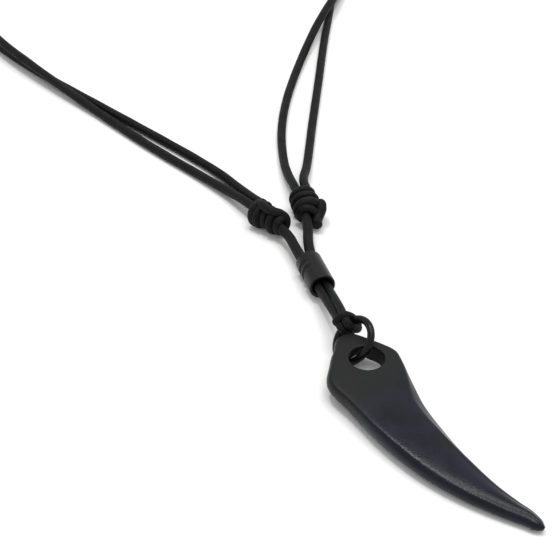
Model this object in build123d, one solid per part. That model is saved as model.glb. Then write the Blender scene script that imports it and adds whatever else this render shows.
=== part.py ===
from build123d import *
import os
from math import cos, pi, radians, sin, tan
from typing import NamedTuple

# Fang pendant with a bored plate, hung by a jump ring and a hitched cord from a tube bead.
# The cord is doubled: each half leaves the bead, slides through the other half's knot and
# goes once round the neck loop. Everything lies on the surface z = 0, as laid on a table.

# Driving sizes in millimetres
CORD_DIAMETER = 2.0
TIGHT_CORD_DIAMETER = 1.7
SIDE_GAP = 0.1
RING_GAP = 0.12

FANG_LENGTH = 58.5
FANG_WIDTH = 15.5
FANG_THICKNESS = 3.9
FANG_HEADING = -57.2
FANG_SLOPE = 2.2
FANG_TOP = (-9.6, 10.3, 3.42)
PLATE_FRONT = 1.7
PLATE_BACK = 1.0
PLATE_LENGTH = 15.0
PLATE_STEP = 4.0
HOLE_DIAMETER = 7.6
HOLE_BRIDGE = 4.71
HOLE_FRONT_BEVEL = 0.4
HOLE_BACK_BEVEL = 1.2

RING_DIAMETER = 10.4
RING_WIRE = 1.45
RING_FROM_BRIDGE = (-0.66, 1.87, 0.97)
RING_NORMAL = (-0.737, -0.290, 0.610)

BEAD_LENGTH = 9.5
BEAD_DIAMETER = 5.6
BEAD_WALL = 0.6
BEAD_LOW_END = (-16.5, 29.4)
BEAD_HEADING = 107.6
GROOVE_DEPTH = 0.25
GROOVE_RADIUS = 0.9
BEAD_ROUNDING = 0.25

WRAP_SPACING = 1.9
LEFT_KNOT_WRAPS = 4
RIGHT_KNOT_WRAPS = 3
KNOT_DIAMETER = 6.0
LEFT_KNOT_CENTRE = (-27.6, 54.8)
LEFT_KNOT_HEADING = 132.0
RIGHT_KNOT_CENTRE = (-19.6, 59.8)
RIGHT_KNOT_HEADING = 93.0
TAIL_LENGTH = 2.6

# Where a rib is thickest, as a share of its width from its outer edge, and how much of a
# cord's shorter run each of its arcs takes up
CROWN_SHARE = 0.42
ARC_SHARE = 0.45

CORD_RADIUS = CORD_DIAMETER / 2
TIGHT_RADIUS = TIGHT_CORD_DIAMETER / 2
RING_RADIUS = (RING_DIAMETER - RING_WIRE) / 2
BEAD_RADIUS = BEAD_DIAMETER / 2
PAIR_OFFSET = CORD_RADIUS + SIDE_GAP / 2


class Rib(NamedTuple):
    """One cross section of the fang, from its outer edge to its inner edge."""

    outer_along: float      # share of the fang's length
    outer_side: float       # share of the fang's width
    inner_along: float      # share of the fang's length
    inner_side: float       # share of the fang's width
    thickness: float        # share of the fang's thickness
    ridge_inset: float      # share of the fang's width, from the outer edge to the ridge
    ridge_height: float     # share of this rib's own half thickness
    rim_inset: float        # share of the fang's width, from the inner edge
    rim_height: float       # share of this rib's own half thickness


RIBS = (
    Rib(-0.074, -0.18, 0.056, 0.35, 1.15, 0.050, 0.72, 0.045, 0.70),
    Rib(0.050, -0.61, 0.179, 0.180, 1.15, 0.060, 0.72, 0.045, 0.70),
    Rib(0.124, -0.81, 0.267, 0.025, 1.08, 0.065, 0.72, 0.045, 0.66),
    Rib(0.248, -0.80, 0.366, -0.070, 1.00, 0.070, 0.60, 0.050, 0.55),
    Rib(0.423, -0.80, 0.503, -0.092, 1.00, 0.080, 0.62, 0.060, 0.40),
    Rib(0.604, -0.775, 0.653, -0.114, 0.93, 0.080, 0.72, 0.060, 0.40),
    Rib(0.760, -0.61, 0.786, -0.098, 0.82, 0.070, 0.82, 0.050, 0.40),
    Rib(0.888, -0.38, 0.881, -0.044, 0.69, 0.060, 0.86, 0.045, 0.50),
    Rib(0.970, -0.16, 0.949, 0.021, 0.52, 0.040, 0.86, 0.035, 0.65),
    Rib(0.997, -0.065, 0.988, 0.011, 0.30, 0.013, 0.86, 0.013, 0.70),
)


class Corner(NamedTuple):
    """One corner of the plate's blunt top edge, seen from above."""

    along: float    # share of the fang's length
    side: float     # share of the fang's width
    rounding: float     # share of the fang's width


TOP_EDGE = (
    Corner(-0.036, -0.314, 0.06),
    Corner(-0.032, -0.060, 0.10),
    Corner(0.027, 0.150, 0.20),
    Corner(0.088, 0.292, 0.06),
)
HOLE_SIDE = -0.188

# The fang's own place, and the hole's and the ring's places in it: the hole lies behind a
# bridge under the plate's top edge, and the ring goes round that bridge
FANG_PLACE = Pos(*FANG_TOP) * Rot(0, 0, FANG_HEADING) * Rot(0, FANG_SLOPE, 0)
TOP_EDGE_ALONG = TOP_EDGE[1].along * FANG_LENGTH
HOLE_PLACE = Pos(TOP_EDGE_ALONG + HOLE_BRIDGE + HOLE_DIAMETER / 2, HOLE_SIDE * FANG_WIDTH)
BRIDGE_PLACE = Pos(TOP_EDGE_ALONG + HOLE_BRIDGE / 2, HOLE_SIDE * FANG_WIDTH)
RING_CENTRE = (FANG_PLACE * BRIDGE_PLACE * Pos(*RING_FROM_BRIDGE)).position

# Places of the bead's grooves and of the cord's wraps round the ring
BEAD_GROOVES = (0.49, 0.83)
RING_WRAPS = (138.0, 160.0, 182.0)
LEG_LANDINGS = (180.0, 154.0)
LEG_LIFT = 0.2
CROSSBAR_OUT = 2.3
CROSSBAR_UP = 1.25
CROSSBAR_LENGTH = 5.0
CROSSBAR_ROUNDING = 0.7
CROSSBAR_SEAM = 137.0

# Routes of the two cords, chosen along the loop as it lies
LEFT_STRAND = (
    (-20.4, 38.23, 2.8), (-21.55, 42.8, 2.8), (-22.44, 49.07, 3.0), (-32.76, 60.53, 3.0),
    (-36.3, 65.9, 1.7), (-43.8, 74.6, 1.0), (-56.2, 87.1, 1.0), (-69.0, 101.3, 1.1),
    (-80.2, 113.0, 2.4), (-90.2, 124.0, 3.5), (-97.0, 132.6, 3.6), (-100.9, 140.4, 3.3),
    (-104.2, 151.2, 1.6), (-108.1, 167.0, 1.0), (-105.6, 184.5, 1.0), (-96.0, 201.9, 1.0),
    (-80.4, 214.2, 1.0), (-59.6, 218.6, 1.0), (-39.2, 214.1, 1.0), (-22.9, 202.2, 1.0),
    (-13.2, 185.2, 1.0), (-10.9, 168.2, 1.0), (-12.0, 154.5, 1.0), (-14.0, 138.0, 1.0),
    (-15.9, 115.6, 1.0), (-17.6, 97.5, 1.0), (-18.7, 83.5, 1.0), (-18.4, 75.5, 1.4),
    (-17.9, 68.5, 2.6), (-17.66, 62.95, 3.0),
)
RIGHT_STRAND = (
    (-18.4, 38.87, 2.8), (-19.45, 43.3, 2.8), (-19.2, 52.2, 3.0), (-19.94, 66.4, 3.0),
    (-22.4, 72.7, 1.9), (-24.7, 81.0, 1.0), (-25.2, 93.5, 1.0), (-24.0, 107.5, 1.0),
    (-20.9, 124.0, 1.0), (-16.9, 139.6, 2.1), (-14.0, 147.6, 3.4), (-11.2, 155.6, 3.5),
    (-9.1, 163.4, 2.3), (-8.2, 174.5, 1.0), (-11.8, 189.3, 1.0), (-20.7, 203.9, 1.0),
    (-38.1, 216.6, 1.0), (-59.4, 221.3, 1.0), (-81.0, 216.8, 1.0), (-97.8, 203.9, 1.0),
    (-108.0, 185.5, 1.0), (-110.6, 166.5, 1.0), (-107.0, 150.5, 1.0), (-102.3, 140.6, 1.0),
    (-96.4, 132.8, 1.0), (-84.2, 119.2, 1.0), (-66.9, 102.7, 1.0), (-47.6, 83.5, 1.0),
    (-39.2, 74.6, 1.0), (-34.2, 67.6, 1.5), (-31.3, 62.5, 2.6), (-28.7, 59.15, 3.0),
)


def rib_face(rib):
    """Four arcs: the outer ridge, the front, the inner rim and the back."""
    outer = Vector(rib.outer_along * FANG_LENGTH, rib.outer_side * FANG_WIDTH)
    inner = Vector(rib.inner_along * FANG_LENGTH, rib.inner_side * FANG_WIDTH)
    across = (inner - outer).normalized()
    width = (inner - outer).length
    half = rib.thickness * FANG_THICKNESS / 2
    ridge = rib.ridge_inset * FANG_WIDTH
    rim = width - rib.rim_inset * FANG_WIDTH
    ridge_z = rib.ridge_height * half
    rim_z = rib.rim_height * half

    def at(distance, height):
        return outer + across * distance + Vector(0, 0, height)

    edges = [
        ThreePointArc(at(ridge, -ridge_z), at(0, 0), at(ridge, ridge_z)),
        ThreePointArc(at(ridge, ridge_z), at(CROWN_SHARE * width, half), at(rim, rim_z)),
        ThreePointArc(at(rim, rim_z), at(width, 0), at(rim, -rim_z)),
        ThreePointArc(at(rim, -rim_z), at(CROWN_SHARE * width, -half), at(ridge, -ridge_z)),
    ]
    return Face(Wire(edges))


def plate_cutter(front):
    """Wedge that leaves the plate flat up to a crease, on the front or on the back."""
    level = PLATE_FRONT if front else PLATE_BACK
    far = FANG_THICKNESS
    profile = [(-FANG_WIDTH, level), (PLATE_LENGTH, level),
               (PLATE_LENGTH + PLATE_STEP, far), (-FANG_WIDTH, far)]
    if not front:
        profile = [(x, -z) for x, z in profile]
    wedge = Plane.XZ * make_face(Polyline(*profile, close=True))
    return extrude(wedge, amount=2 * FANG_WIDTH, both=True)


def top_edge_keeper():
    """Everything below the plate's blunt top edge, as a tall prism."""
    corners = [(c.along * FANG_LENGTH, c.side * FANG_WIDTH) for c in TOP_EDGE]
    reach = 2 * FANG_LENGTH
    first_x = corners[0][0]
    around = [(first_x, -reach), *corners, (reach, corners[-1][1] + reach), (reach, -reach)]
    outline = make_face(Polyline(*around, close=True))
    for corner, (x, y) in zip(TOP_EDGE, corners):
        vertex = outline.vertices().sort_by_distance((x, y, 0))[0]
        outline = fillet(vertex, corner.rounding * FANG_WIDTH)
    return extrude(outline, amount=2 * FANG_THICKNESS, both=True)


def hole_cutter():
    """Straight hole through the plate, with a small bevel at its front and back rims."""
    radius = HOLE_DIAMETER / 2
    profile = [
        (0, -FANG_THICKNESS), (radius + FANG_THICKNESS - PLATE_BACK + HOLE_BACK_BEVEL, -FANG_THICKNESS),
        (radius, HOLE_BACK_BEVEL - PLATE_BACK), (radius, PLATE_FRONT - HOLE_FRONT_BEVEL),
        (radius + FANG_THICKNESS - PLATE_FRONT + HOLE_FRONT_BEVEL, FANG_THICKNESS), (0, FANG_THICKNESS),
    ]
    cutter = revolve(Plane.XZ * make_face(Polyline(*profile, close=True)), Axis.Z)
    return HOLE_PLACE * cutter


def tooth_pendant():
    """Lofted fang, cut flat round its hole and blunt at its top."""
    fang = loft([rib_face(rib) for rib in RIBS])
    fang = fang & top_edge_keeper()
    fang = fang - plate_cutter(True) - plate_cutter(False)
    fang = fang - hole_cutter()
    return FANG_PLACE * fang


def jump_ring():
    """Round wire ring that leans over the plate's top edge and passes through its hole."""
    return Plane(origin=RING_CENTRE, z_dir=RING_NORMAL) * Torus(RING_RADIUS, RING_WIRE / 2)


def bead_direction():
    return Vector(cos(radians(BEAD_HEADING)), sin(radians(BEAD_HEADING)))


def bead_place(distance, sideways=0.0):
    """Point inside the bead, so far from its low end and from its axis."""
    along = bead_direction()
    across = Vector(along.Y, -along.X)
    return Vector(*BEAD_LOW_END, BEAD_RADIUS) + along * distance + across * sideways


def tube_bead():
    """Turned tube with two shallow grooves and rounded lips."""
    wall = Pos(BEAD_RADIUS - BEAD_WALL / 2, BEAD_LENGTH / 2) * Rectangle(BEAD_WALL, BEAD_LENGTH)
    wall = fillet(wall.vertices(), BEAD_ROUNDING)
    for share in BEAD_GROOVES:
        centre = BEAD_RADIUS + GROOVE_RADIUS - GROOVE_DEPTH
        wall -= Pos(centre, share * BEAD_LENGTH) * Circle(GROOVE_RADIUS)
    tube = revolve(Plane.XZ * wall, Axis.Z)
    return Plane(origin=bead_place(0), z_dir=bead_direction()) * tube


def ring_frame(angle):
    """Centre of the ring's wire at an angle, and its outward, front and lengthwise directions."""
    normal = Vector(*RING_NORMAL).normalized()
    level = normal.cross(Vector(0, 0, 1)).normalized()
    rise = normal.cross(level)
    if level.Y > 0:
        level = level * -1
    if rise.Z < 0:
        rise = rise * -1
    turn = radians(angle)
    outward = level * cos(turn) + rise * sin(turn)
    lengthwise = rise * cos(turn) - level * sin(turn)
    return RING_CENTRE + outward * RING_RADIUS, outward, normal, lengthwise


def cord_hitch():
    """The cord's fold: two legs through the bead, pulled tight round the ring under a crossbar."""
    wrap_radius = RING_WIRE / 2 + RING_GAP + TIGHT_RADIUS
    stretches = []
    for angle in RING_WRAPS:
        centre, outward, front, lengthwise = ring_frame(angle)
        wrap = Plane(origin=centre, z_dir=lengthwise) * Torus(wrap_radius, TIGHT_RADIUS)
        stretches.append(wrap)
    crossbar_ends = []
    for side, angle in zip((-1, 1), LEG_LANDINGS):
        centre, outward, front, lengthwise = ring_frame(angle)
        top = bead_place(BEAD_LENGTH, side * PAIR_OFFSET)
        mouth = bead_place(-CORD_RADIUS, side * PAIR_OFFSET)
        landing = centre + front * (RING_WIRE / 2 + LEG_LIFT + CORD_RADIUS)
        stretches.append(tube([top, mouth, landing]))
        crossbar_ends.append(centre + outward * CROSSBAR_OUT + front * CROSSBAR_UP)
    low_end, high_end = crossbar_ends
    bar = Cylinder(CORD_RADIUS, CROSSBAR_LENGTH)
    bar = Rot(0, 0, CROSSBAR_SEAM) * fillet(bar.edges().filter_by(GeomType.CIRCLE), CROSSBAR_ROUNDING)
    bar = Plane(origin=(low_end + high_end) / 2, z_dir=high_end - low_end) * bar
    return bar.fuse(*stretches)


def knot(centre, heading, wraps, tail_side=0):
    """Barrel of cord wraps round a core strand, with flat ends that the strands meet."""
    length = WRAP_SPACING * (wraps - 1) + CORD_DIAMETER
    bore = CORD_RADIUS + SIDE_GAP
    outer = KNOT_DIAMETER / 2
    valley = outer - CORD_RADIUS
    profile = Pos((bore + valley) / 2, length / 2) * Rectangle(valley - bore, length)
    for count in range(wraps):
        profile += Pos(valley, CORD_RADIUS + count * WRAP_SPACING) * Circle(CORD_RADIUS)
    profile -= Pos(bore / 2, length / 2) * Rectangle(bore, length)
    barrel = Pos(0, 0, -length / 2) * revolve(Plane.XZ * profile, Axis.Z)
    if tail_side:
        tail = Pos(0, 0, -length / 2 - TAIL_LENGTH) * Cylinder(
            CORD_RADIUS, TAIL_LENGTH + CORD_RADIUS, align=(Align.CENTER, Align.CENTER, Align.MIN)
        )
        barrel += Pos(tail_side * (bore + CORD_RADIUS), 0, 0) * tail
    along = Vector(cos(radians(heading)), sin(radians(heading)))
    across = Vector(along.Y, -along.X)
    return Plane(origin=(*centre, outer), x_dir=across, z_dir=along) * barrel


def tube(points):
    """Cord along straight runs joined by tangent arcs, each as large as its runs allow."""
    corners = [Vector(*point) for point in points]
    radii = []
    for before, corner, after in zip(corners, corners[1:], corners[2:]):
        shorter = min((corner - before).length, (after - corner).length)
        turn = (corner - before).get_angle(after - corner)
        radii.append(ARC_SHARE * shorter / tan(radians(turn) / 2))
    path = FilletPolyline(*corners, radius=radii)
    section = Plane(origin=corners[0], z_dir=corners[1] - corners[0]) * Circle(CORD_RADIUS)
    cord = sweep(section, path=path)
    share = cord.volume / (pi * CORD_RADIUS ** 2 * path.length)
    print("cord length", round(path.length, 1), "mm, volume over section times length", round(share, 4))
    print("corner radii", [round(radius, 1) for radius in radii])
    return cord


pieces = {
    "tooth_pendant": tooth_pendant(),
    "jump_ring": jump_ring(),
    "tube_bead": tube_bead(),
    "cord_hitch": cord_hitch(),
    "left_strand": tube(LEFT_STRAND),
    "right_strand": tube(RIGHT_STRAND),
    "left_knot": knot(LEFT_KNOT_CENTRE, LEFT_KNOT_HEADING, LEFT_KNOT_WRAPS),
    "right_knot": knot(RIGHT_KNOT_CENTRE, RIGHT_KNOT_HEADING, RIGHT_KNOT_WRAPS, tail_side=1),
}
os.makedirs("parts", exist_ok=True)
for name, piece in pieces.items():
    export_step(piece, f"parts/{name}.step")
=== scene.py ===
import math

import bpy
import numpy as np
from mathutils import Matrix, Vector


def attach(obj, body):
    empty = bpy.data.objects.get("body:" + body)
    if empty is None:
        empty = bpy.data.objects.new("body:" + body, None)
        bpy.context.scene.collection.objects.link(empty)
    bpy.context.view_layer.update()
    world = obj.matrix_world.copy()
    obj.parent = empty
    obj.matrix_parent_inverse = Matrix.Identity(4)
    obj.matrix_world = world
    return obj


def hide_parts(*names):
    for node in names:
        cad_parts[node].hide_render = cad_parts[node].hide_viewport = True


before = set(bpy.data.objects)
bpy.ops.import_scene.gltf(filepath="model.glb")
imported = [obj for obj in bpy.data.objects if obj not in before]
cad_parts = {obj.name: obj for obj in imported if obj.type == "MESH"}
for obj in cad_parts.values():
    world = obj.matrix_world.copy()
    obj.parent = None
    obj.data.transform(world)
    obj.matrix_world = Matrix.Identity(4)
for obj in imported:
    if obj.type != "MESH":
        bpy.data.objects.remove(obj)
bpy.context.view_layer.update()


# Table top and light. The necklace lies on a plain white table under a large soft light and
# a small one, both from above and behind, with a white room all round it.
TABLE_SIZE = 3.0
TABLE_WHITE = (0.93, 0.93, 0.925, 1)
TABLE_ROUGHNESS = 0.6
ROOM_WHITE = (1.0, 1.0, 1.0, 1)
ROOM_STRENGTH = 0.74
# Each light: name, place, point that it faces, width, depth and power
LIGHTS = (
    ("overhead_softbox", (0.22, 0.18, 1.05), (-0.01, 0.05, 0), 0.7, 0.6, 4.6),
    ("left_window", (-0.25, 0.38, 1.12), (-0.01, 0.00, 0), 0.10, 0.20, 3.2),
)
CAMERA_PLACE = (-0.02539, -0.2612, 0.22201)
CAMERA_PITCH = math.radians(36.8)
CAMERA_LENS = 112.5
CAMERA_NEAREST = 0.01

table_mesh = bpy.data.meshes.new("table_top")
table_edge = TABLE_SIZE / 2 * np.array([[-1, -1, 0], [1, -1, 0], [1, 1, 0], [-1, 1, 0]])
table_mesh.from_pydata(table_edge.tolist(), [], [(0, 1, 2, 3)])
table_top = bpy.data.objects.new("table_top", table_mesh)
bpy.context.scene.collection.objects.link(table_top)
table_paint = bpy.data.materials.new("table_paint")
table_paint.use_nodes = True
table_shader = table_paint.node_tree.nodes["Principled BSDF"]
table_shader.inputs["Base Color"].default_value = TABLE_WHITE
table_shader.inputs["Roughness"].default_value = TABLE_ROUGHNESS
table_top.data.materials.append(table_paint)

room = bpy.data.worlds.new("white_room")
room.use_nodes = True
room.node_tree.nodes["Background"].inputs["Color"].default_value = ROOM_WHITE
room.node_tree.nodes["Background"].inputs["Strength"].default_value = ROOM_STRENGTH
bpy.context.scene.world = room
bpy.context.scene.view_settings.view_transform = "Standard"


def aim(place, target):
    """Turn that points an object's -Z axis from its place at a target."""
    return (Vector(target) - Vector(place)).to_track_quat("-Z", "Y").to_euler()


for name, place, target, width, depth, power in LIGHTS:
    lamp = bpy.data.lights.new(name, "AREA")
    lamp.shape = "RECTANGLE"
    lamp.size, lamp.size_y = width, depth
    lamp.energy = power
    lamp_object = bpy.data.objects.new(name, lamp)
    lamp_object.location = place
    lamp_object.rotation_euler = aim(place, target)
    bpy.context.scene.collection.objects.link(lamp_object)

camera = bpy.data.objects.new("camera", bpy.data.cameras.new("camera"))
camera.location = CAMERA_PLACE
camera.rotation_euler = (math.pi / 2 - CAMERA_PITCH, 0, 0)
camera.data.lens = CAMERA_LENS
camera.data.clip_start = CAMERA_NEAREST
bpy.context.scene.collection.objects.link(camera)
bpy.context.scene.camera = camera


# Neck cord. A round braided cotton cord, two millimetres thick, black and waxed. Each half
# leaves the bead, slides through one knot, goes round the neck loop and is tied round the
# other half in the other knot, so the loop can be drawn tighter or wider.
CORD_DIAMETER = 0.002
CORD_FULLNESS = 1.02
BEAD_END_GAIN = 0.10
BEAD_END_REACH = 0.016
SWELL_SHARE = 0.02
SWELL_LENGTH = 0.0017
# A cut end's rim: its share of the radius, and how far it and the cut's middle stand out as
# shares of the diameter
END_RIM = 0.75
END_RIM_OUT = 1 / 16
END_MIDDLE_OUT = 1 / 12
CORD_BLACK = (0.0045, 0.0047, 0.0054, 1)
CORD_DUST = (0.0150, 0.0150, 0.0148, 1)
CORD_SIDES = 24
PLAIT_LENGTH = 0.0019
PLAIT_STRANDS = 4
# Points that guide the cord's middle line, from the bead to the knot that it is tied into
LEFT_ROUTE = np.array([
    (-20.4, 38.23, 2.8), (-21.85, 42.5, 2.8), (-23.85, 49.1, 2.9), (-32.76, 60.53, 3.0),
    (-36.3, 65.9, 1.7), (-43.95, 74.5, 1.0), (-56.35, 87.0, 1.0), (-69.0, 101.3, 1.1),
    (-80.2, 113.0, 2.4), (-90.2, 124.0, 3.5), (-97.0, 132.6, 3.6), (-100.9, 140.4, 3.3),
    (-104.2, 151.2, 1.6), (-108.1, 167.0, 1.0), (-105.6, 184.5, 1.0), (-96.0, 201.9, 1.0),
    (-80.4, 214.2, 1.0), (-59.6, 218.6, 1.0), (-39.2, 214.1, 1.0), (-22.9, 202.2, 1.0),
    (-13.2, 185.2, 1.0), (-10.9, 168.2, 1.0), (-12.0, 154.5, 1.0), (-14.0, 138.0, 1.0),
    (-15.9, 115.6, 1.0), (-17.6, 97.5, 1.0), (-18.7, 83.5, 1.0), (-19.3, 76.5, 1.4),
    (-20.2, 70.6, 2.6), (-19.75, 66.2, 3.1), (-18.5, 62.91, 3.1),
]) / 1000
RIGHT_ROUTE = np.array([
    (-18.4, 38.87, 2.8), (-19.45, 43.3, 2.8), (-19.2, 53.0, 3.0), (-21.75, 65.6, 3.0),
    (-23.7, 73.3, 1.9), (-24.75, 81.5, 1.0), (-25.2, 93.5, 1.0), (-24.0, 107.5, 1.0),
    (-20.9, 124.0, 1.0), (-16.9, 139.6, 2.1), (-14.0, 147.6, 3.4), (-11.2, 155.6, 3.5),
    (-9.1, 163.4, 2.3), (-8.2, 174.5, 1.0), (-11.8, 189.3, 1.0), (-20.7, 203.9, 1.0),
    (-38.1, 216.6, 1.0), (-59.4, 221.3, 1.0), (-81.0, 216.8, 1.0), (-97.8, 203.9, 1.0),
    (-108.0, 185.5, 1.0), (-110.6, 166.5, 1.0), (-107.0, 150.5, 1.0), (-102.3, 140.6, 1.0),
    (-96.4, 132.8, 1.0), (-84.2, 119.2, 1.0), (-66.9, 102.7, 1.0), (-47.3, 83.7, 1.0),
    (-38.9, 74.8, 1.0), (-34.2, 67.6, 1.5), (-31.3, 62.5, 2.6), (-28.7, 59.15, 3.0),
]) / 1000


class Socket:
    """A shader value. Sums, products and other maths on it add the nodes that work them out."""

    def __init__(self, tree, link):
        self.tree = tree
        self.link = link

    def node(self, kind, settings=None, **values):
        """Adds a node of a kind, sets it up, then fills its sockets by name, or by number after
        an underscore. Gives its first live output."""
        made = self.tree.nodes.new(kind)
        for key, value in (settings or {}).items():
            setattr(made, key, value)
        for key, value in values.items():
            if key[0] == "_":
                place = made.inputs[int(key[1:])]
            else:
                name = key.replace("_", " ")
                place = next(one for one in made.inputs if one.enabled and one.name == name)
            if isinstance(value, Socket):
                self.tree.links.new(value.link, place)
            else:
                place.default_value = value
        return Socket(self.tree, next(one for one in made.outputs if one.enabled))

    def math(self, operation, *others):
        """Result of a named operation on this value and others."""
        values = {f"_{place}": value for place, value in enumerate((self, *others))}
        return self.node("ShaderNodeMath", {"operation": operation}, **values)

    def __add__(self, other):
        return self.math("ADD", other)

    __radd__ = __add__

    def __mul__(self, other):
        return self.math("MULTIPLY", other)

    __rmul__ = __mul__

    def __sub__(self, other):
        return self.math("SUBTRACT", other)

    def __rsub__(self, other):
        return self * -1.0 + other

    def mix(self, low, high):
        """Colour between low and high, by this value."""
        return self.node("ShaderNodeMix", {"data_type": "RGBA"}, Factor=self, A=low, B=high)

    def along(self, *direction):
        """How far this vector reaches along a direction, times the direction's length."""
        return self.node("ShaderNodeVectorMath", {"operation": "DOT_PRODUCT"}, _0=self, _1=direction)

    def noise(self, scale, detail=2.0, stretch=(1, 1, 1)):
        """Noise over this vector, finer along the axes that are stretched more."""
        pulled = self.node("ShaderNodeVectorMath", {"operation": "MULTIPLY"}, _0=self, _1=stretch)
        return self.node("ShaderNodeTexNoise", Vector=pulled, Scale=scale, Detail=detail)

    def ramp(self, low, high):
        """Rises from 0 to 1, softly, while this value goes from low to high."""
        return self.node("ShaderNodeMapRange", {"interpolation_type": "SMOOTHSTEP"},
                         Value=self, From_Min=low, From_Max=high)

    def bump(self, distance, strength=1.0):
        """Relief that has this value as its height, in parts of a distance."""
        return self.node("ShaderNodeBump", Height=self, Distance=distance, Strength=strength)


def finish_of(name, **constants):
    """A new material with these constants on its shader. Gives it, its shader, and the places
    on a piece as its own coordinates and as its marks along and round it."""
    material = bpy.data.materials.new(name)
    material.use_nodes = True
    shader = material.node_tree.nodes["Principled BSDF"]
    for key, value in constants.items():
        shader.inputs[key.replace("_", " ")].default_value = value
    finder = material.node_tree.nodes.new("ShaderNodeTexCoord")
    places, marks = (Socket(material.node_tree, finder.outputs[key]) for key in ("Object", "UV"))
    return material, shader, places, marks


def feed(shader, **sockets):
    """Links what varies over the surface to the shader."""
    for key, value in sockets.items():
        value.tree.links.new(value.link, shader.inputs[key.replace("_", " ")])


def skin(name, grid, start_pole=None, end_pole=None, uv=None, looped=False):
    """Mesh object over a grid of points: rows run along the piece and columns go round it.

    Neighbouring rows and columns are joined by quads, and the last column joins the first.
    A looped piece's last row also joins its first one. A pole is one point that closes the
    first or the last row with a fan. uv gives each row's distance along and each column's
    distance round, in metres.
    """
    rows, columns = grid.shape[:2]
    points = grid.reshape(-1, 3)
    row, column = np.meshgrid(np.arange(rows - (not looped)), np.arange(columns), indexing="ij")
    after = (column + 1) % columns
    below = (row + 1) % rows
    quads = np.stack([row * columns + column, row * columns + after,
                      below * columns + after, below * columns + column], -1).reshape(-1, 4)
    faces = quads.tolist()
    marks = None
    if uv is not None:
        along, round_it = uv
        u = np.stack([along[row], along[row], along[row + 1], along[row + 1]], -1)
        v = np.stack([round_it[column], round_it[column + 1], round_it[column + 1],
                      round_it[column]], -1)
        marks = np.stack([u, v], -1).reshape(-1, 2)
    for pole, edge_row, flip in ((start_pole, 0, True), (end_pole, rows - 1, False)):
        if pole is None:
            continue
        tip = len(points)
        points = np.vstack([points, np.reshape(pole, (1, 3))])
        ring = edge_row * columns + np.arange(columns)
        following = np.roll(ring, -1)
        fan = np.stack([following, ring, np.full(columns, tip)], -1) if flip else np.stack(
            [ring, following, np.full(columns, tip)], -1)
        faces += fan.tolist()
        if uv is not None:
            edge = np.arange(columns)
            first, second = (edge + 1, edge) if flip else (edge, edge + 1)
            level = np.full(columns, along[edge_row])
            fan_marks = np.stack([
                np.stack([level, round_it[first]], -1), np.stack([level, round_it[second]], -1),
                np.stack([level, (round_it[first] + round_it[second]) / 2], -1)], 1)
            marks = np.vstack([marks, fan_marks.reshape(-1, 2)])
    mesh = bpy.data.meshes.new(name)
    mesh.from_pydata(points.tolist(), [], faces)
    if marks is not None:
        mesh.uv_layers.new(name="along_and_round").data.foreach_set("uv", marks.ravel())
    mesh.shade_smooth()
    made = bpy.data.objects.new(name, mesh)
    bpy.context.scene.collection.objects.link(made)
    return made


def smooth_line(route, steps=14):
    """Points along the smooth curve of second degree that the route's points guide."""
    data = bpy.data.curves.new("route", "CURVE")
    data.dimensions = "3D"
    spline = data.splines.new("NURBS")
    spline.points.add(len(route) - 1)
    spline.points.foreach_set("co", np.column_stack([route, np.ones(len(route))]).ravel())
    spline.order_u = 3
    spline.use_endpoint_u = True
    spline.resolution_u = steps
    guide = bpy.data.objects.new("route", data)
    bpy.context.scene.collection.objects.link(guide)
    line = bpy.data.meshes.new_from_object(guide)
    points = np.empty(len(line.vertices) * 3)
    line.vertices.foreach_get("co", points)
    bpy.data.objects.remove(guide)
    bpy.data.curves.remove(data)
    bpy.data.meshes.remove(line)
    return points.reshape(-1, 3)


def unit(vectors):
    """The same directions, each one long: every vector over its length."""
    return vectors / np.linalg.norm(vectors, axis=-1, keepdims=True)


def way_along(line):
    """Distance from a line's start to each of its points: the sum of the steps so far."""
    return np.concatenate([[0], np.cumsum(np.linalg.norm(np.diff(line, axis=0), axis=1))])


def cord_skin(name, line, diameter, upright=(0, 0, 1)):
    """Cord round a line of points.

    Each ring stands square to the line. Its radius is half the diameter, times one plus a small
    share of the sine of the way along times the sine of twice the turn round, so that the cord
    swells and sinks a little. The ends are drawn in to a rounded cut.
    """
    ahead = unit(np.gradient(line, axis=0))
    side = unit(np.cross(ahead, np.broadcast_to(upright, line.shape)))
    up = np.cross(side, ahead)
    travelled = way_along(line)
    diameter = np.broadcast_to(diameter, travelled.shape)
    turn = np.linspace(2 * np.pi, 0, CORD_SIDES, endpoint=False)
    swell = np.sin(travelled / SWELL_LENGTH)[:, None] * np.sin(2 * turn)[None]
    radius = diameter[:, None] / 2 * (1 + SWELL_SHARE * swell)
    rings = line[:, None] + radius[..., None] * (
        side[:, None] * np.cos(turn)[None, :, None] + up[:, None] * np.sin(turn)[None, :, None])
    rims, middles = [], []
    for end, way in ((0, -1), (-1, 1)):
        out = way * ahead[end] * diameter[end]
        rims.append((rings[end] - line[end]) * END_RIM + line[end] + out * END_RIM_OUT)
        middles.append(line[end] + out * END_MIDDLE_OUT)
    grid = np.concatenate([rims[0][None], rings, rims[1][None]])
    along = np.concatenate([[-diameter[0] * END_RIM_OUT], travelled,
                            [travelled[-1] + diameter[-1] * END_RIM_OUT]])
    return skin(name, grid, *middles, uv=(along, np.linspace(0, 1, CORD_SIDES + 1)))


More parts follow.
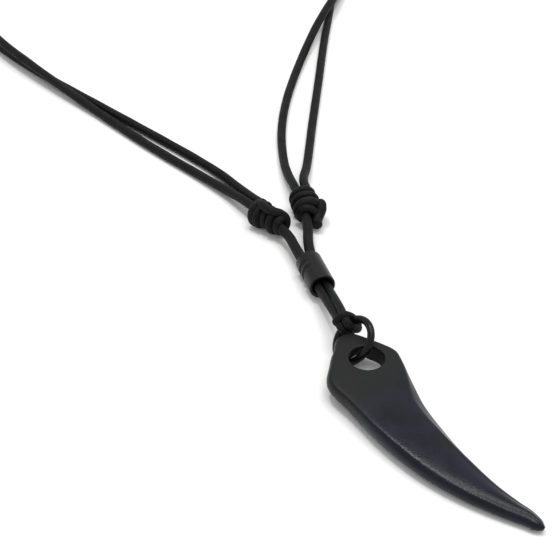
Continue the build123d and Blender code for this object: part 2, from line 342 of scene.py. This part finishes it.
cord_wax, cord_shader, cord_places, cord_marks = finish_of("waxed_cord", Specular_IOR_Level=0.14)
spiral = 2 * math.pi / PLAIT_LENGTH
plait = cord_marks.along(spiral, 2 * math.pi * PLAIT_STRANDS, 0).math("SINE") \
    * cord_marks.along(spiral, -2 * math.pi * PLAIT_STRANDS, 0).math("SINE")
fibres = cord_places.noise(5200.0, 3.0)
dust = cord_places.noise(1300.0, 4.0).ramp(0.50, 0.72) * (plait * 0.5 + 0.5)
feed(cord_shader, Base_Color=dust.mix(CORD_BLACK, CORD_DUST),
     Roughness=cord_places.noise(420.0) * 0.35 + 0.42,
     Normal=(plait * 0.5 + fibres * 0.7).bump(0.00008, 0.5))

left_line = smooth_line(LEFT_ROUTE)
right_line = smooth_line(RIGHT_ROUTE)


def neck_cord(name, line):
    """Half of the neck cord, a little thicker where it leaves the bead: the gain there fades
    with the fourth power of the way along."""
    gain = BEAD_END_GAIN * np.exp(-(way_along(line) / BEAD_END_REACH) ** 4)
    return cord_skin(name, line, CORD_DIAMETER * (CORD_FULLNESS + gain))


left_cord = neck_cord("left_neck_cord", left_line)
right_cord = neck_cord("right_neck_cord", right_line)


# Sliding knots. Each is the end of one cord wound round the other cord, which slides through
# it. Where a turn runs lengthwise over the barrel it shows as one raised roll.
KNOT_CORD = 0.0019
# The right knot's cord bulges in its middle wraps and at its cut stub: how much, and where,
# as shares of its length
WRAP_GAIN = 0.22
WRAP_MIDDLE = 0.5
WRAP_REACH = 0.09
STUB_GAIN = 0.30
STUB_START = 0.86
STUB_RISE = 0.06
LEFT_KNOT_CENTRE = (-27.85, 54.55, 3.0)
LEFT_KNOT_HEADING = 132.0
RIGHT_KNOT_CENTRE = (-19.6, 59.8, 3.0)
RIGHT_KNOT_HEADING = 93.0
# Turn in degrees from the right side over the top, and place along and out from the
# barrel's middle line in millimetres
LEFT_WINDING = (
    (-5, 3.9, 2.0), (80, 3.3, 1.95), (180, 2.9, 2.5), (225, 2.75, 2.6), (270, 2.6, 1.98),
    (360, 2.2, 1.95), (450, 1.8, 2.0), (540, 1.5, 2.4), (585, 1.3, 2.45), (630, 1.1, 1.95),
    (720, 0.7, 1.75), (810, 0.2, 1.65), (900, -0.2, 1.75), (990, -0.7, 1.7), (1080, -1.2, 1.7),
    (1170, -1.8, 1.8), (1260, -2.3, 1.95), (1350, -2.8, 1.9), (1440, -3.3, 1.8), (1530, -3.8, 1.5),
    (1620, -4.1, 1.35), (1710, -4.2, 1.35), (1800, -4.1, 1.5), (1860, -3.7, 2.1),
    (1890, -2.9, 2.75), (1905, -1.6, 3.0), (1908, -0.2, 3.05), (1905, 1.2, 2.95),
    (1895, 2.4, 2.5), (1885, 3.2, 1.6),
)
RIGHT_WINDING = (
    (5, 3.04, 1.27), (90, 2.45, 2.1), (180, 2.0, 2.85), (270, 1.3, 2.0), (360, 0.8, 2.1),
    (450, 0.3, 2.15), (540, -0.2, 2.6), (630, -0.9, 1.80), (720, -1.5, 2.2), (800, -2.3, 2.15),
    (880, -3.0, 2.1), (960, -3.5, 1.8), (1050, -3.9, 1.6), (1140, -4.1, 1.5), (1230, -4.0, 1.6),
    (1320, -3.3, 1.9), (1352, -2.9, 1.96), (1385, -2.2, 2.4), (1430, -1.2, 3.1),
    (1452, -1.0, 3.2), (1456, -1.8, 3.35), (1448, -2.9, 3.15), (1432, -3.9, 2.6),
    (1418, -4.9, 2.25), (1412, -5.8, 2.2), (1410, -6.7, 2.25),
)


def wound_line(centre, heading, winding, steps=26, softness=17):
    """Line wound round a level axis.

    A point is the centre, plus its place along the axis, plus its distance out times the cosine
    of its turn across and the sine of its turn up. All three go evenly from station to station
    and are then smoothed by a running mean.
    """
    table = np.array(winding, float)
    place = np.linspace(0, len(table) - 1, steps * (len(table) - 1) + 1)
    turn, along, out = (np.interp(place, np.arange(len(table)), column) for column in table.T)
    kernel = np.hanning(softness + 2)[1:-1]
    kernel /= kernel.sum()
    padded = (np.pad(values, softness // 2, "reflect", reflect_type="odd")
              for values in (np.radians(turn), along, out))
    turn, along, out = (np.convolve(values, kernel, "valid") for values in padded)
    angle = np.radians(heading)
    ahead = np.array([np.cos(angle), np.sin(angle), 0])
    across = np.array([np.sin(angle), -np.cos(angle), 0])
    outward = np.cos(turn)[:, None] * across + np.sin(turn)[:, None] * np.array([0, 0, 1])
    line = np.array(centre) + along[:, None] * ahead + out[:, None] * outward
    return line / 1000, outward


knots = {}
for node, centre, heading, winding, wrap_gain, stub_gain in (
        ("left_knot", LEFT_KNOT_CENTRE, LEFT_KNOT_HEADING, LEFT_WINDING, 0.0, 0.0),
        ("right_knot", RIGHT_KNOT_CENTRE, RIGHT_KNOT_HEADING, RIGHT_WINDING, WRAP_GAIN, STUB_GAIN)):
    line, outward = wound_line(centre, heading, winding)
    share = way_along(line) / way_along(line)[-1]
    wrap = wrap_gain * np.exp(-((share - WRAP_MIDDLE) / WRAP_REACH) ** 2)
    stub = stub_gain * np.clip((share - STUB_START) / STUB_RISE, 0, 1)
    thickness = KNOT_CORD * (1 + wrap + stub)
    knot = cord_skin(node + "_wraps", line, thickness, outward)
    knot.data.materials.append(cord_wax)
    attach(knot, "root")
    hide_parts(node)
    knots[node] = knot


# Hitch. The waxed cord's fold goes through the ring and back over both of its own legs, a
# lark's head pulled tight, and the legs run up through the bead. The cord is squeezed thinner
# here. The ring's and the bead's places are in millimetres.
HITCH_CORD = 0.00176
PAIR_OFFSET = 0.95
RING_CENTRE = np.array([-10.80, 9.88, 4.19])
RING_NORMAL = unit(np.array([-0.673, -0.317, 0.667]))
RING_RADIUS = 4.53
BEAD_LOW_END = np.array([-16.5, 29.4, 2.8])
BEAD_HEADING = math.radians(107.6)
BEAD_LENGTH = 9.5
# Places of a leg's points along the bead from its low end, the last of them just outside the
# mouth, and the next point's share of the way from there to the wire
LEG_PLACES = (BEAD_LENGTH - 0.2, 4.0, -0.4)
LEG_BEND = 0.45
HITCH_MIDDLE = 169.0
# From a leg over the wire, through the ring and round to the fold: place along the wire from
# the hitch's middle, which is mirrored for the other half, shift along the wire, which isn't,
# place out from the wire's middle line and place in front of it
HITCH_HALF = (
    (0.82, -0.05, 3.2, 0.80), (0.82, -0.45, 0.3, 1.70), (0.84, -0.35, -1.68, 1.64),
    (1.00, -0.2, -1.68, -1.68), (1.20, -0.4, 0.3, -1.75), (1.36, -0.5, 0.75, -0.70),
    (1.38, -0.5, 0.75, 1.30), (1.00, -0.5, 0.5, 2.35),
)

bead_ahead = np.array([math.cos(BEAD_HEADING), math.sin(BEAD_HEADING), 0])
bead_across = np.array([math.sin(BEAD_HEADING), -math.cos(BEAD_HEADING), 0])


def ring_axes(turn):
    """Outward and lengthwise directions of the ring at a turn from its near, level side: the
    level and the rising radius, mixed by the turn's cosine and sine."""
    level = unit(np.cross((0, 0, 1), RING_NORMAL))
    rise = np.cross(RING_NORMAL, level)
    turn = np.radians(turn)[..., None]
    return level * np.cos(turn) + rise * np.sin(turn), rise * np.cos(turn) - level * np.sin(turn)


def by_the_ring(along, out, front):
    """Points beside the ring's wire: the centre, plus the ring's radius and the place out, along
    the outward direction at the place along, plus the place in front along the ring's axis."""
    outward = ring_axes(HITCH_MIDDLE + np.degrees(along / (RING_RADIUS + out)))[0]
    return RING_CENTRE + outward * (RING_RADIUS + out)[..., None] + RING_NORMAL * front[..., None]


half_routes = []
for way in (1, -1):
    aside, shift, out, front = np.array(HITCH_HALF).T
    by_wire = by_the_ring(way * aside + shift, out, front)
    leg = BEAD_LOW_END + np.outer(LEG_PLACES, bead_ahead) - way * PAIR_OFFSET * bead_across
    bend = (1 - LEG_BEND) * leg[-1] + LEG_BEND * by_wire[0]
    half_routes.append(np.vstack([leg, bend, by_wire]))
hitch_line = smooth_line(np.vstack([half_routes[0], half_routes[1][::-1]]) / 1000)
# The cord's rings are set by the wire's direction, and by its outward one where the cord runs
# along the wire
middle_outward, middle_lengthwise = ring_axes(np.array(HITCH_MIDDLE))
lengthwise = (unit(np.gradient(hitch_line, axis=0)) @ middle_lengthwise)[:, None] ** 2
hitch = cord_skin("hitch_fold", hitch_line, HITCH_CORD,
                  middle_lengthwise * (1 - lengthwise) + middle_outward * lengthwise)
hitch.data.materials.append(cord_wax)
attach(hitch, "root")
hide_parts("cord_hitch")

# Each half of the neck cord is listed beside the knot that its end is wound into, and the left
# one beside the hitch too; that list isn't used, and each half is attached to the root
for cord, line, node, pieces in (
        (left_cord, left_line, "left_strand", [knots["right_knot"], hitch]),
        (right_cord, right_line, "right_strand", [knots["left_knot"]])):
    cord.data.materials.append(cord_wax)
    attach(cord, "root")
    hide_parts(node)


# Tube bead. A turned brass tube, blackened, with eased lips and two file notches in its left
# flank. The legs of the hitch and the two neck cords meet inside it.
BEAD_RADIUS = 2.8
BEAD_WALL = 0.6
BEAD_ROWS = 150
# The notches' places along the bead, as shares of its length
BEAD_NOTCHES = (0.50, 0.70)
NOTCH_RADIUS = 0.8
NOTCH_DEPTH = 0.42
NOTCH_TURN = math.radians(196)
LIP = 0.25
LIP_ROWS = 7
BEAD_BLACK = (0.0055, 0.0055, 0.0062, 1)
BEAD_BRASS = (0.024, 0.0215, 0.018, 1)


def turned(place, ahead, profile, notches, sides=72):
    """Surface turned round an axis: at each turn, the closed profile's place along the axis and
    its radius, less the notches' depth times the cosine of the turn from their flank."""
    side = unit(np.cross(ahead, (0, 0, 1)))
    up = np.cross(side, ahead)
    turn = np.linspace(0, 2 * np.pi, sides, endpoint=False)[None, :, None]
    radius, along = profile.T[:, :, None, None]
    radius = radius - notches[:, None, None] * np.clip(np.cos(turn - NOTCH_TURN), 0, 1)
    return place + along * ahead + radius * (side * np.cos(turn) + up * np.sin(turn))


along = np.linspace(LIP, BEAD_LENGTH - LIP, BEAD_ROWS)
depth = np.zeros(len(along))
for share in BEAD_NOTCHES:
    reach = NOTCH_RADIUS ** 2 - (along - share * BEAD_LENGTH) ** 2
    depth += np.maximum(0, np.sqrt(np.maximum(reach, 0)) - (NOTCH_RADIUS - NOTCH_DEPTH))
quarter = np.radians(np.linspace(90, 0, LIP_ROWS))[:-1]
low_lip = np.column_stack([BEAD_RADIUS - LIP + LIP * np.cos(quarter), LIP - LIP * np.sin(quarter)])
high_lip = np.column_stack([low_lip[::-1, 0], BEAD_LENGTH - low_lip[::-1, 1]])
inner_lip = [(BEAD_RADIUS - BEAD_WALL, BEAD_LENGTH - LIP / 2), (BEAD_RADIUS - BEAD_WALL, LIP / 2)]
outer = np.column_stack([np.full(len(along), BEAD_RADIUS), along])
profile = np.vstack([low_lip, outer, high_lip, inner_lip])
notches = np.pad(depth, (len(low_lip), len(high_lip) + len(inner_lip)))
bead_grid = turned(BEAD_LOW_END, bead_ahead, profile, notches)[::-1] / 1000
bead = skin("turned_bead", bead_grid, looped=True)
bead_paint, bead_shader, bead_places = finish_of("blackened_brass", Specular_IOR_Level=0.19)[:3]
bead_lines = bead_places.node(
    "ShaderNodeTexNoise", {"noise_dimensions": "1D"},
    W=bead_places.along(*bead_ahead), Scale=5200.0, Detail=3.0)
bead_wear = bead_places.noise(620.0, 4.0).ramp(0.56, 0.74)
feed(bead_shader, Base_Color=(bead_wear * 0.8).mix(BEAD_BLACK, BEAD_BRASS),
     Metallic=bead_wear * 0.4, Roughness=bead_places.noise(300.0) * 0.3 + 0.2,
     Normal=bead_lines.bump(0.00003, 0.5))
bead.data.materials.append(bead_paint)
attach(bead, "root")
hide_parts("tube_bead")


# Jump ring. One turn of round wire, gunmetal plated, that passes through the fang's hole and
# carries the hitch. The wire's thickness wavers a little.
WIRE_RADIUS = 0.77
WIRE_SIDES = 28
RING_STEPS = 160
WAVER_SHARE = 0.012
WAVERS = 3
WAVER_START = 40
WIRE_BLACK = (0.0040, 0.0040, 0.0046, 1)
WIRE_BRIGHT = (0.020, 0.0195, 0.019, 1)

# A point is the centre, plus the ring's radius and the wire's times the section's cosine, both
# outward, plus the wire's radius times the section's sine along the ring's axis
turns = np.linspace(0, 360, RING_STEPS, endpoint=False)
ring_outward = ring_axes(turns)[0]
section = np.linspace(0, 2 * np.pi, WIRE_SIDES, endpoint=False)[None, :, None]
waver = WAVER_SHARE * np.sin(np.radians(WAVERS * turns + WAVER_START))
wire = WIRE_RADIUS * (1 + waver)[:, None, None]
ring_grid = RING_CENTRE + ring_outward[:, None] * (RING_RADIUS + wire * np.cos(section)) \
    + RING_NORMAL * wire * np.sin(section)
ring = skin("wire_ring", ring_grid[::-1] / 1000, looped=True)
ring_paint, ring_shader, ring_places = finish_of("gunmetal", Specular_IOR_Level=0.2)[:3]
ring_wear = ring_places.noise(800.0, 4.0).ramp(0.52, 0.72)
ring_scratches = ring_places.noise(1500.0, 3.0, (1, 1, 4))
feed(ring_shader, Base_Color=ring_wear.mix(WIRE_BLACK, WIRE_BRIGHT), Metallic=ring_wear * 0.3,
     Roughness=ring_places.noise(500.0) * 0.24 + 0.14,
     Normal=ring_scratches.bump(0.00002, 0.5))
ring.data.materials.append(ring_paint)
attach(ring, "root")
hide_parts("jump_ring")


# Fang. Sawn and filed from black horn: a flat drilled plate at its top that runs out into a
# curved tooth with a raised ridge along its outer edge, then polished.
FANG_LENGTH = 58.5
FANG_WIDTH = 15.5
FANG_THICKNESS = 3.9
FANG_HEADING = -57.2
FANG_SLOPE = 2.2
FANG_TOP = np.array([-9.6, 10.3, 3.42])
PLATE_FRONT = 1.7
PLATE_BACK = 1.0
BACK_SWELL = 1.1
BACK_SWELL_START = -0.8
BACK_SWELL_SOFTNESS = 0.6
PLATE_LENGTH = 15.0
PLATE_RUN_OUT = 2.5
FRONT_SLOPE = 0.20
BACK_SLOPE = 0.55
PLATE_SOFTNESS = 0.3
CROWN_SHARE = 0.46
FACET_WIDTH = 2.7
FACET_PLACE = 22.0
FACET_REACH = (9.0, 17.0)
FACET_DROP = 0.95
FACET_SOFTNESS = 0.12
HOLE_RADIUS = 3.5
HOLE_PLACE = (6.12, -2.55)
HOLE_SIDES = 120
HOLE_ROUNDING = 0.3
# The hole's back rim is rounder on the bridge, where the ring's wire passes, so far from the
# fang's own direction in radians
BRIDGE_ROUNDING = 1.27
BRIDGE_TURN = 0.35
# What cuts the fang leans out to this share of each rounding, and starts so far below its back
RIM_LEAN = 0.96
RIM_CLEARANCE = 0.02
# Rows in each gap between ribs, columns round each edge and across each face, and passes that
# smooth a section
ROWS_PER_GAP = 26
EDGE_COLUMNS = 19
FACE_COLUMNS = 38
SMOOTHINGS = 5
SHARP_ANGLE = math.radians(60)
HORN_BLACK = (0.0032, 0.0040, 0.0078, 1)
HORN_BLUE = (0.0050, 0.0070, 0.0175, 1)
PLATE_GREY = (0.0042, 0.0046, 0.0052, 1)
PLATE_DARK = (0.0034, 0.0037, 0.0043, 1)
# Metres along the fang between which the plate's finish turns into the body's
FINISH_CHANGE = (0.0105, 0.0210)
# Ribs from the top to the tip, as shares: the outer and the inner edge's place along the
# length and across the width, thickness, ridge inset and height, rim inset and height
RIBS = np.array([
    (-0.074, -0.155, 0.056, 0.350, 1.15, 0.050, 0.72, 0.045, 0.70),
    (0.050, -0.594, 0.179, 0.222, 1.15, 0.050, 0.72, 0.055, 0.70),
    (0.124, -0.815, 0.267, 0.118, 1.08, 0.045, 0.78, 0.090, 0.72),
    (0.248, -0.820, 0.366, 0.006, 1.00, 0.028, 0.84, 0.115, 0.72),
    (0.423, -0.830, 0.503, -0.070, 1.00, 0.048, 0.88, 0.100, 0.66),
    (0.604, -0.755, 0.653, -0.109, 0.93, 0.082, 0.85, 0.080, 0.60),
    (0.760, -0.580, 0.786, -0.098, 0.82, 0.096, 0.84, 0.060, 0.55),
    (0.888, -0.359, 0.881, -0.044, 0.69, 0.098, 0.86, 0.050, 0.55),
    (0.966, -0.197, 0.946, 0.000, 0.59, 0.078, 0.88, 0.040, 0.60),
    (0.989, -0.155, 0.980, -0.006, 0.50, 0.052, 0.88, 0.034, 0.66),
    (1.003, -0.100, 1.001, -0.036, 0.27, 0.018, 0.86, 0.016, 0.70),
])
# The tip's place along the length and across the width, as shares
TIP_PLACE = (1.0055, -0.068)
# The line that the top is sawn along, in millimetres along and across the fang, with the steps
# and the smoothing of its points, and two corners that close it well off the fang
TOP_EDGE = np.array([
    (1.6, -30.0), (1.5, -7.2), (0.9, -6.5), (-1.7, -5.0), (-2.2, -2.8), (-1.7, -0.7),
    (1.0, 0.90), (4.4, 2.65), (6.4, 3.5), (8.4, 3.95), (11.0, 4.3), (30.0, 10.0),
])
TOP_EDGE_STEP = 0.23
TOP_EDGE_SOFTNESS = 15
SAW_CORNERS = ((10.0, 60.0), (-40.0, -30.0))
SAW_STEPS = 30


def smooth_rows(table, per_gap):
    """Rows between the rows of a table, on the cubic curve through each column's values whose
    slope at a row comes from the values on both sides."""
    station = way_along((table[:, :2] + table[:, 2:4]) * (FANG_LENGTH, FANG_WIDTH))
    slope = np.gradient(table, station, axis=0)
    row = np.arange(0, len(table) - 1, 1 / per_gap)
    first = row.astype(int)
    share = (row - first)[:, None]
    gap = (station[first + 1] - station[first])[:, None]
    made = (table[first] * (2 * share ** 3 - 3 * share ** 2 + 1)
            + table[first + 1] * (3 * share ** 2 - 2 * share ** 3)
            + slope[first] * gap * (share ** 3 - 2 * share ** 2 + share)
            + slope[first + 1] * gap * (share ** 3 - share ** 2))
    return np.vstack([made, table[-1]])


def edge_arc(inset, height, turns):
    """Round edge through two points that lie the inset in from the edge point and the height
    above and below it: an arc whose radius is (inset squared + height squared) / (2 inset)."""
    radius = (inset ** 2 + height ** 2) / (2 * inset)
    reach = np.arctan2(height, radius - inset)
    angle = reach[:, None] * turns
    return radius[:, None] * (1 - np.cos(angle)), radius[:, None] * np.sin(angle)


def low_of(first, second, softness):
    """The lower of two heights, with a soft step from one to the other: half of their sum, less
    half of the root of their difference squared plus the softness squared."""
    return (first + second - np.sqrt((first - second) ** 2 + softness ** 2)) / 2


def plate_back(across):
    """Depth of the plate's back, fuller on the inner side, away from the ring: it rises by the
    swell in a soft step across the plate."""
    step = np.tanh((across - BACK_SWELL_START) / BACK_SWELL_SOFTNESS)
    return PLATE_BACK + BACK_SWELL * (1 + step) / 2


def fang_grid():
    """Sections across the fang.

    Each is a round outer edge up to the ridge, a front that rises to its crown and falls to the
    rim as a parabola through three heights, a round inner edge and a like back. The front falls
    in a narrow facet beside the inner edge, widest at one place along it, and heights over the
    plate are brought down to its level.
    """
    rows = smooth_rows(RIBS, ROWS_PER_GAP)
    outer = rows[:, :2] * (FANG_LENGTH, FANG_WIDTH)
    inner = rows[:, 2:4] * (FANG_LENGTH, FANG_WIDTH)
    width = np.linalg.norm(inner - outer, axis=1)
    half = rows[:, 4] * FANG_THICKNESS / 2
    ridge, rim = rows[:, 5] * FANG_WIDTH, rows[:, 7] * FANG_WIDTH
    ridge_z, rim_z = rows[:, 6] * half, rows[:, 8] * half
    edge_turns = np.linspace(-1, 1, EDGE_COLUMNS)
    outer_in, outer_z = edge_arc(ridge, ridge_z, edge_turns)
    inner_in, inner_z = edge_arc(rim, rim_z, -edge_turns)
    share = np.linspace(0, 1, FACE_COLUMNS)[None, 1:-1]
    start, end, crown = ridge[:, None], (width - rim)[:, None], (CROWN_SHARE * width)[:, None]
    across = start + (end - start) * share
    front = (ridge_z[:, None] * (across - crown) * (across - end) / ((start - crown) * (start - end))
             + half[:, None] * (across - start) * (across - end) / ((crown - start) * (crown - end))
             + rim_z[:, None] * (across - start) * (across - crown) / ((end - start) * (end - crown)))
    distance = np.hstack([outer_in, across, width[:, None] - inner_in, across[:, ::-1]])
    height = np.hstack([outer_z, front, inner_z, -front[:, ::-1]])
    for _ in range(SMOOTHINGS):
        distance = (np.roll(distance, 1, 1) + 2 * distance + np.roll(distance, -1, 1)) / 4
        height = (np.roll(height, 1, 1) + 2 * height + np.roll(height, -1, 1)) / 4
    direction = (inner - outer) / width[:, None]
    plan = outer[:, None] + direction[:, None] * distance[..., None]
    reach = np.where(inner[:, :1] < FACET_PLACE, *FACET_REACH)
    facet = FACET_WIDTH * np.exp(-((inner[:, :1] - FACET_PLACE) / reach) ** 2)
    drop = FACET_DROP * (1 - (width[:, None] - distance) / facet)
    faceted = low_of(height, half[:, None] * (1 - drop), FACET_SOFTNESS)
    height = np.where(height > 0, faceted, height)
    beyond = plan[..., 0] - PLATE_LENGTH
    beyond = (beyond + np.sqrt(beyond ** 2 + PLATE_RUN_OUT ** 2)) / 2
    height = low_of(height, PLATE_FRONT + FRONT_SLOPE * beyond, PLATE_SOFTNESS)
    back = plate_back(plan[..., 1]) + BACK_SLOPE * beyond
    height = -low_of(-height, back, PLATE_SOFTNESS)
    return np.dstack([plan, height])


def laid_down(points):
    """From the fang's own directions to the necklace's, in metres: tipped by its slope, turned
    to its heading and moved to its top's place."""
    slope, heading = math.radians(FANG_SLOPE), math.radians(FANG_HEADING)
    tilt = np.array([[math.cos(slope), 0, math.sin(slope)], [0, 1, 0],
                     [-math.sin(slope), 0, math.cos(slope)]])
    swing = np.array([[math.cos(heading), -math.sin(heading), 0],
                      [math.sin(heading), math.cos(heading), 0], [0, 0, 1]])
    return (points @ (swing @ tilt).T + FANG_TOP) / 1000


def cutter(name, plan, normals, front_round, back_round):
    """Wall that stands on a closed plan line and leans outwards near the plate's two faces, as
    a quarter round of each rounding's size, so that what it cuts has rounded rims."""
    quarter = np.linspace(0, np.pi / 2, 9)
    depth, reach = 1 - np.sin(quarter), (1 - np.cos(quarter)) * RIM_LEAN
    top = PLATE_FRONT - front_round[:, None] * depth
    top_lean = front_round[:, None] * reach
    low = -plate_back(plan[:, 1])[:, None] - RIM_CLEARANCE + back_round[:, None] * depth[::-1]
    low_lean = back_round[:, None] * reach[::-1]
    far = np.full((len(plan), 1), FANG_THICKNESS)
    height = np.hstack([-far, low, top, far])
    lean = np.hstack([low_lean[:, :1], low_lean, top_lean, top_lean[:, -1:]])
    walls = plan[:, None] + normals[:, None] * lean[..., None]
    grid = np.dstack([walls, height]).transpose(1, 0, 2)
    middle = np.append(plan.mean(0), 0)
    ends = [middle + (0, 0, -FANG_THICKNESS), middle + (0, 0, FANG_THICKNESS)]
    return skin(name, laid_down(grid), laid_down(ends[0]), laid_down(ends[1]))


def cut_from(piece, tool):
    """Takes the tool's space out of a piece for good."""
    cut = piece.modifiers.new("cut", "BOOLEAN")
    cut.operation, cut.solver, cut.object = "DIFFERENCE", "EXACT", tool
    view = bpy.context.evaluated_depsgraph_get()
    made = bpy.data.meshes.new_from_object(piece.evaluated_get(view))
    piece.modifiers.clear()
    piece.data = made
    bpy.data.objects.remove(tool)


grid = fang_grid()
tip = laid_down(np.array([TIP_PLACE[0] * FANG_LENGTH, TIP_PLACE[1] * FANG_WIDTH, 0]))
top = laid_down(grid[0].mean(0))
fang = skin("fang", laid_down(grid), top, tip)

around = np.radians(np.linspace(0, 360, HOLE_SIDES, endpoint=False))
hole_out = np.column_stack([np.cos(around), np.sin(around)])
near_bridge = np.clip(-np.cos(around - BRIDGE_TURN), 0, 1) ** 2
back_round = HOLE_ROUNDING + (BRIDGE_ROUNDING - HOLE_ROUNDING) * near_bridge
cut_from(fang, cutter("hole_drill", HOLE_PLACE + HOLE_RADIUS * hole_out, hole_out,
                      np.full(HOLE_SIDES, HOLE_ROUNDING), back_round))

spacing = way_along(TOP_EDGE)
walk = np.arange(0, spacing[-1], TOP_EDGE_STEP)
edge_line = np.column_stack([np.interp(walk, spacing, TOP_EDGE[:, axis]) for axis in (0, 1)])
window = np.hanning(TOP_EDGE_SOFTNESS)
window /= window.sum()
edge_line = np.column_stack([np.convolve(edge_line[:, axis], window, "valid") for axis in (0, 1)])
edge_way = np.gradient(edge_line, axis=0)
edge_out = unit(np.column_stack([edge_way[:, 1], -edge_way[:, 0]]))
plan = np.vstack([edge_line, np.linspace(*SAW_CORNERS, SAW_STEPS)])
lean_way = np.vstack([edge_out, np.zeros((SAW_STEPS, 2))])
edge_round = np.full(len(plan), HOLE_ROUNDING)
cut_from(fang, cutter("top_edge_saw", plan, lean_way, edge_round, edge_round))
fang.data.shade_smooth()
fang.data.set_sharp_from_angle(angle=SHARP_ANGLE)

# The plate is plain and has file marks. The body is bluer and smoother, with fine scratches
horn, horn_shader, horn_places = finish_of("black_horn", Specular_IOR_Level=0.22)[:3]
fang_places = horn_places.node("ShaderNodeMapping", {"vector_type": "TEXTURE"}, Vector=horn_places,
                               Location=FANG_TOP / 1000, Rotation=(0, 0, math.radians(FANG_HEADING)))
body = fang_places.along(1, 0.25, 0).ramp(*FINISH_CHANGE)
cloud = fang_places.noise(150.0, 4.0).ramp(0.3, 0.7)
file_marks = fang_places.noise(1.0, 3.0, (2400, 260, 900))
scratches = fang_places.noise(1.0, 3.0, (300, 2600, 1400))
specks = fang_places.noise(3400.0, 2.0)
feed(horn_shader,
     Base_Color=body.mix(cloud.mix(PLATE_DARK, PLATE_GREY), cloud.mix(HORN_BLACK, HORN_BLUE)),
     Roughness=cloud * 0.08 + specks * 0.10 + (0.34 - body * 0.18),
     Normal=(file_marks * (1 - body * 0.8) + scratches * 0.35 * body
             + specks * 1.3).bump(0.00004, 0.8))
fang.data.materials.clear()
fang.data.materials.append(horn)
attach(fang, "root")
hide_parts("tooth_pendant")
